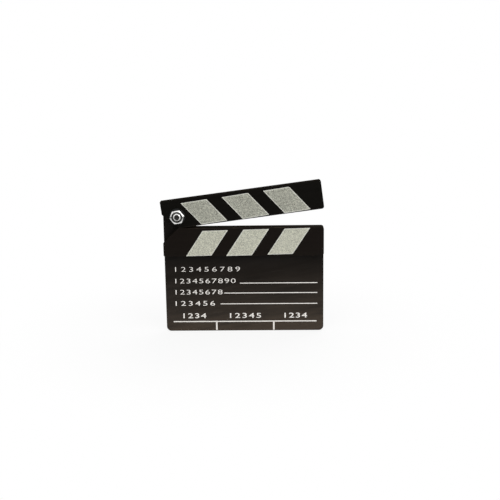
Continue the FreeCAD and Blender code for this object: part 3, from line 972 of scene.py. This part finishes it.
# %% Printed numbers
DIGIT_STRETCH, CAP_SHARE, CURVE_STEPS = 1.6, 0.72, 4
TIGHT, LOOSE = 1.0, 2.0


def set_numbers(text, cap_height, weight, spread):
    """A text object: cap_height tall, strokes thicker by weight, with that spacing."""
    type_set = bpy.data.curves.new("numbers", "FONT")
    type_set.body = text
    type_set.size = cap_height / CAP_SHARE * MM
    type_set.space_character = spread
    type_set.offset = weight * MM
    type_set.extrude = (INK_THICK + INK_SUNK) / 2 * MM
    type_set.resolution_u = CURVE_STEPS
    made = bpy.data.objects.new("numbers", type_set)
    bpy.context.scene.collection.objects.link(made)
    bpy.context.view_layer.update()
    return made


def remove_numbers(made):
    type_set = made.data
    bpy.data.objects.remove(made)
    bpy.data.curves.remove(type_set)


def width_of(text, cap_height, weight, spread):
    made = set_numbers(text, cap_height, weight, spread)
    width = made.dimensions.x / MM
    remove_numbers(made)
    return width


def printed_numbers(name, text, left, right, foot, cap_height, weight):
    """Numbers printed on the slate's face between left and right, standing on foot."""
    tight, loose = (width_of(text, cap_height, weight, spread) for spread in (TIGHT, LOOSE))
    spread = TIGHT + ((right - left) / DIGIT_STRETCH - tight) / (loose - tight) * (LOOSE - TIGHT)
    made = set_numbers(text, cap_height, weight, spread)
    final = made.evaluated_get(bpy.context.evaluated_depsgraph_get())
    mesh = bpy.data.meshes.new_from_object(final)
    remove_numbers(made)
    low = [min(v.co[axis] for v in mesh.vertices) / MM for axis in range(3)]
    points = [
        (
            (v.co.x / MM - low[0]) * DIGIT_STRETCH + left,
            SLATE_FACE + INK_SUNK - (v.co.z / MM - low[2]),
            v.co.y / MM - low[1] + foot,
        )
        for v in mesh.vertices
    ]
    faces = [tuple(polygon.vertices) for polygon in mesh.polygons]
    bpy.data.meshes.remove(mesh)
    lay_ink(name, points, faces)
    print(f"{name}: spacing {spread:.2f}")


# %% [markdown]
# Four rows begin at the left margin, and three columns stand above the foot rule. Each
# is as long as its field needs.

# %% The slate's numbers
# Text, left end, right end, foot and weight of stroke.
ROWS = (
    ("123456789", -87.0, -5.1, 78.1, -0.11),
    ("1234567890", -87.2, -10.9, 62.9, -0.10),
    ("12345678", -87.4, -27.7, 48.3, -0.08),
    ("123456", -87.8, -37.6, 33.4, -0.02),
)
COLUMNS = (
    ("1234", -78.4, -49.0, 16.8, 0.06),
    ("12345", -18.9, 20.8, 16.8, 0.06),
    ("1234", 50.6, 79.3, 16.8, 0.06),
)
ROW_HEIGHT, COLUMN_HEIGHT = 6.4, 6.6
for kind, table, tall in (("row", ROWS, ROW_HEIGHT), ("column", COLUMNS, COLUMN_HEIGHT)):
    for number, (*place_of_text, weight) in enumerate(table, 1):
        printed_numbers(f"{kind}_numbers_{number}", *place_of_text, tall, weight)

# %% [markdown]
# The board stands on a white table. To the camera the floor is white paper, lit evenly,
# and a mirror has to see the same paper, or the metal would go black. So camera, glossy
# and transmission rays get white light from it, mixed with a share of plain diffuse
# paper close to the board, which keeps the soft shadow at its foot.

# %% Floor
FLOOR_REACH = 6.0
PAPER_GREY, PAPER_WHITE, PAPER_GRAIN = (0.84, 0.84, 0.84), (0.88, 0.88, 0.88), 0.02
SHADOW_SHARE, SHADOW_REACH = 0.15, (110.0, 340.0)


def looked_at(start):
    """1 for rays that look at a surface straight or by a mirror, 0 for light rays."""
    seen = start.node("LightPath", out="Is Camera Ray")
    for mirror in ("Is Glossy Ray", "Is Transmission Ray"):
        rays = start.node("LightPath", out=mirror)
        seen = start.node("Math", {"operation": "MAXIMUM"}, {0: seen, 1: rays})
    return seen


def lay_on_stage(name, corners, faces, material):
    """A plain sheet of the stage, which is no part of the object."""
    mesh = bpy.data.meshes.new(name)
    mesh.from_pydata(corners, [], faces)
    mesh.materials.append(material)
    sheet = bpy.data.objects.new(name, mesh)
    bpy.context.scene.collection.objects.link(sheet)
    return sheet


table_paper, shader, place = new_finish("table_paper", specular=0.0, roughness=1.0)
laid_over(grain(place, PAPER_GRAIN, 3.0), PAPER_GREY, PAPER_WHITE).to(shader, "Base Color")
away = length_of(place * (1.0, 1.0, 0.0))
shadow_free = 1.0 - SHADOW_SHARE + SHADOW_SHARE * soft_step(away, *SHADOW_REACH)
white = looked_at(place) * shadow_free
show_mixed(white, Wire(place.tree, shader.outputs[0]), place.node("Emission"))
floor_corners = [
    (x * FLOOR_REACH, y * FLOOR_REACH, 0.0) for x, y in ((-1, -1), (1, -1), (1, 1), (-1, 1))
]
lay_on_stage("white_table", floor_corners, [(0, 1, 2, 3)], table_paper)
print("white table", 2 * FLOOR_REACH, "m wide")

# %% [markdown]
# In the photograph the nut's flat face is dark inside a bright rim, and the black paint
# gets lighter toward the foot. Both say the same: the faces mirror white paper close to
# the board and something darker farther out. Photographers lay out a graded cloth for
# that, white at the board and black farther off. One lies in front and one behind, and
# only mirror rays meet them, because other views look across them.

# %% Graded cloths in front of the board and behind it
CLOTH_NEAR, CLOTH_FAR, CLOTH_HALF, CLOTH_TALL, CLOTH_UP = 0.06, 1.60, 1.6, 2.6, 0.002
CLOTH_FADE = 0.16
CLOTH_BLACK, CLOTH_GREY, WEAVE_GRAIN = (0.010, 0.010, 0.010), (0.020, 0.019, 0.018), 0.5

graded_cloth, shader, place = new_finish("graded_cloth", specular=0.0, roughness=1.0)
laid_over(grain(place, WEAVE_GRAIN), CLOTH_BLACK, CLOTH_GREY).to(shader, "Base Color")
farther = (CLOTH_NEAR / MM - without_sign(along_axes(place)[1])) * (MM / CLOTH_FADE)
bright = farther.node("Math", {"operation": "EXPONENT"}, {0: farther})
show_mixed(bright, Wire(place.tree, shader.outputs[0]), place.node("Emission"))


def lay_cloth(name, side):
    """A cloth on the table that rises at its far end. side is -1 in front, 1 behind."""
    near, far = side * CLOTH_NEAR, side * CLOTH_FAR
    corners = [
        (-CLOTH_HALF, near, CLOTH_UP), (CLOTH_HALF, near, CLOTH_UP),
        (CLOTH_HALF, far, CLOTH_UP), (-CLOTH_HALF, far, CLOTH_UP),
        (CLOTH_HALF, far, CLOTH_TALL), (-CLOTH_HALF, far, CLOTH_TALL),
    ]
    cloth = lay_on_stage(name, corners, [(0, 1, 2, 3), (3, 2, 4, 5)], graded_cloth)
    cloth.visible_camera = False
    cloth.visible_shadow = False
    cloth.visible_diffuse = False
    print(name, "from", near, "to", far, "m")


lay_cloth("front_cloth", -1)
lay_cloth("back_cloth", 1)

# %% [markdown]
# Plain soft light: a white sky all around, one large lamp high in front of the board, a
# weaker one at the right and one behind for the back. Together they give each side about
# as much light as it would get under an even white sky, so a colour renders about as it
# is written. Camera and mirrors see the sky as plain white.

# %% Sky and lamps
SKY_LIGHT = 0.55
BOARD_MIDDLE = Vector((0.0, 0.0, 0.10))
# Name, place and size in metres, and watts.
LAMPS = (
    ("key_lamp", (-0.15, -1.05, 1.25), 1.5, 8.9),
    ("fill_lamp", (0.95, -0.80, 0.70), 1.2, 7.0),
    ("back_lamp", (0.55, 1.20, 0.95), 1.5, 9.0),
)

sky = bpy.data.worlds.new("white_sky")
sky.use_nodes = True
bpy.context.scene.world = sky
background = sky.node_tree.nodes["Background"]
background.inputs["Color"].default_value = (1.0, 1.0, 1.0, 1.0)
(SKY_LIGHT + (1.0 - SKY_LIGHT) * looked_at(Wire(sky.node_tree))).to(background, "Strength")


def soft_lamp(name, spot, size, watts):
    """A square area lamp at spot that shines toward the middle of the board."""
    light = bpy.data.lights.new(name, "AREA")
    light.size = size
    light.energy = watts
    lamp = bpy.data.objects.new(name, light)
    lamp.location = spot
    lamp.rotation_mode = "QUATERNION"
    lamp.rotation_quaternion = (BOARD_MIDDLE - Vector(spot)).to_track_quat("-Z", "Y")
    bpy.context.scene.collection.objects.link(lamp)
    print(f"{name}: {watts} W")


for lamp in LAMPS:
    soft_lamp(*lamp)
